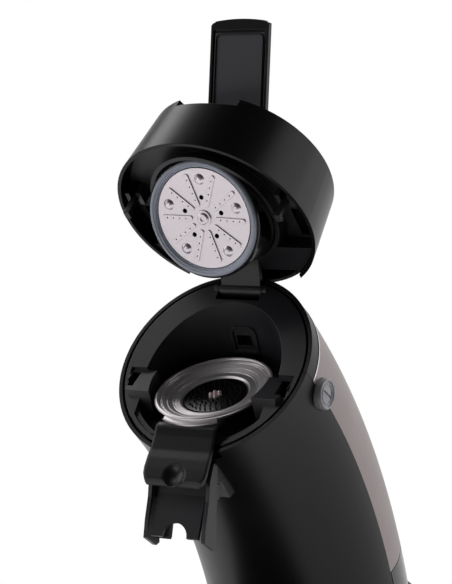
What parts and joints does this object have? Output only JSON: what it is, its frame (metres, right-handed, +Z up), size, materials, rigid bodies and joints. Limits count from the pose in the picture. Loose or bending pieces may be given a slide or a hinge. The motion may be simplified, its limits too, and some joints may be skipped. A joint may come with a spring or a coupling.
{
  "type": "pod coffee machine",
  "caption": "Pod coffee machine: curved column with a tilting lid, sealing head, lift-out pod holder, twin spout, drip tray and rear water tank",
  "frame": {"origin": "centre of the bounding box on the table", "axes": "+X right, +Y back, +Z up"},
  "size_m": [0.158, 0.2862, 0.4451],
  "materials": {
    "black_shell": "satin moulded",
    "rear_metal": "fine brushed metallic lacquer",
    "collar": "satin",
    "trim": "polished",
    "shadow_black": "matt",
    "head_black": "fine satin",
    "cap_grey": "translucent gloss",
    "panel_black": "gloss",
    "light": "translucent",
    "inner_grey": "moulded",
    "steel": "brushed",
    "alu": "drawn",
    "hot_steel": "heat tinted",
    "brass": "turned",
    "pump_body": "moulded",
    "rubber": "moulded",
    "seal_grey": "silicone",
    "hose": "silicone",
    "board": "lacquered board",
    "cup_black": "gloss",
    "disc_steel": "satin brushed",
    "pin_steel": "ground",
    "lever_black": "satin",
    "inset_black": "fine grain",
    "holder_steel": "pressed and polished",
    "handle_black": "satin",
    "strainer_black": "matt",
    "stud_metal": "satin",
    "tank_smoke": "smoked translucent",
    "valve": "moulded",
    "float": "foamed",
    "button_silver": "satin silver",
    "button_grey": "satin"
  },
  "bodies": {
    "base": {"foot_shell": "black_shell", "base_plate": "inner_grey", "rubber_feet": "rubber", "base_screws": "pin_steel", "front_shell": "black_shell", "rear_cover": "rear_metal", "collar_band": "collar", "trim_strip": "trim", "rim_ring": "shadow_black", "brew_head": "head_black", "coffee_channel": "shadow_black", "spout_bracket": "head_black", "side_caps": "cap_grey", "button_panel": "panel_black", "light_ring": "light", "chassis": "inner_grey", "boiler_shell": "steel", "boiler_lid": "alu", "heating_coil": "hot_steel", "temperature_sensor": "brass", "pump": "pump_body", "pump_mounts": "rubber", "control_board": "board", "tank_socket": "head_black", "cold_hose": "hose", "hot_hose": "hose", "cord_inlet": "rubber", "hinge_pin": "pin_steel"},
    "lid": {"lid_shell": "black_shell", "lid_frame": "head_black", "seal_cup": "cup_black", "sealing_ring": "seal_grey", "water_disc": "disc_steel", "disc_screw": "disc_steel", "lever_pin": "pin_steel"},
    "lever": {"lid_lever": "lever_black", "lever_inset": "inset_black"},
    "latch": {"latch_hooks": "head_black"},
    "pod_holder": {"pod_holder": "holder_steel", "holder_handle": "handle_black", "strainer": "strainer_black", "strainer_studs": "stud_metal"},
    "spout": {"spout": "handle_black", "spout_nozzles": "shadow_black"},
    "drip_tray": {"drip_tray": "black_shell"},
    "drip_grid": {"drip_grid": "steel"},
    "water_tank": {"water_tank": "tank_smoke"},
    "tank_valve": {"tank_valve": "valve"},
    "tank_float": {"tank_float": "float"},
    "power_button": {"power_button": "button_silver"},
    "one_cup_button": {"one_cup_button": "button_grey"},
    "two_cup_button": {"two_cup_button": "button_grey"}
  },
  "joints": [
    {"name": "lid_hinge", "type": "hinge", "parent": "base", "child": "lid", "pos_m": [0, 0.06847, 0.2834], "axis": [-1, 0, 0], "range_deg": [-99.3, 0]},
    {"name": "lever_hinge", "type": "hinge", "parent": "lid", "child": "lever", "pos_m": [0, 0.09923, 0.38376], "axis": [-1, 0, 0], "range_deg": [-74, 0]},
    {"name": "latch_pivot", "type": "hinge", "parent": "lid", "child": "latch", "pos_m": [0, 0.06601, 0.36082], "axis": [-1, 0, 0], "range_deg": [-10, 0.1]},
    {"name": "pod_holder_lift", "type": "slide", "parent": "base", "child": "pod_holder", "axis": [0, 0, 1], "range_m": [0, 0.045]},
    {"name": "spout_pull", "type": "slide", "parent": "base", "child": "spout", "axis": [0, -0.61, -0.7924], "range_m": [0, 0.03]},
    {"name": "drip_tray_lift", "type": "slide", "parent": "base", "child": "drip_tray", "axis": [0, 0, 1], "range_m": [0, 0.05]},
    {"name": "drip_grid_lift", "type": "slide", "parent": "drip_tray", "child": "drip_grid", "axis": [0, 0, 1], "range_m": [0, 0.03]},
    {"name": "tank_pull", "type": "slide", "parent": "base", "child": "water_tank", "axis": [0, 1, 0], "range_m": [0, 0.12]},
    {"name": "valve_push", "type": "slide", "parent": "water_tank", "child": "tank_valve", "axis": [0, 1, 0], "range_m": [0, 0.002], "stiffness_N_per_m": 150, "springref_m": -0.001},
    {"name": "float_rise", "type": "slide", "parent": "water_tank", "child": "tank_float", "axis": [0, 0, 1], "range_m": [0, 0.03]},
    {"name": "power_button_press", "type": "slide", "parent": "base", "child": "power_button", "axis": [0, 1, 0], "range_m": [0, 0.0012], "stiffness_N_per_m": 800, "springref_m": -0.0008},
    {"name": "one_cup_button_press", "type": "slide", "parent": "base", "child": "one_cup_button", "axis": [0.3907, 0.9205, 0], "range_m": [0, 0.0012], "stiffness_N_per_m": 800, "springref_m": -0.0008},
    {"name": "two_cup_button_press", "type": "slide", "parent": "base", "child": "two_cup_button", "axis": [-0.3907, 0.9205, 0], "range_m": [0, 0.0012], "stiffness_N_per_m": 800, "springref_m": -0.0008}
  ],
  "couplings": [
    {"joint": "latch_pivot", "follows": "lever_hinge", "ratio": 0.1333}
  ]
}
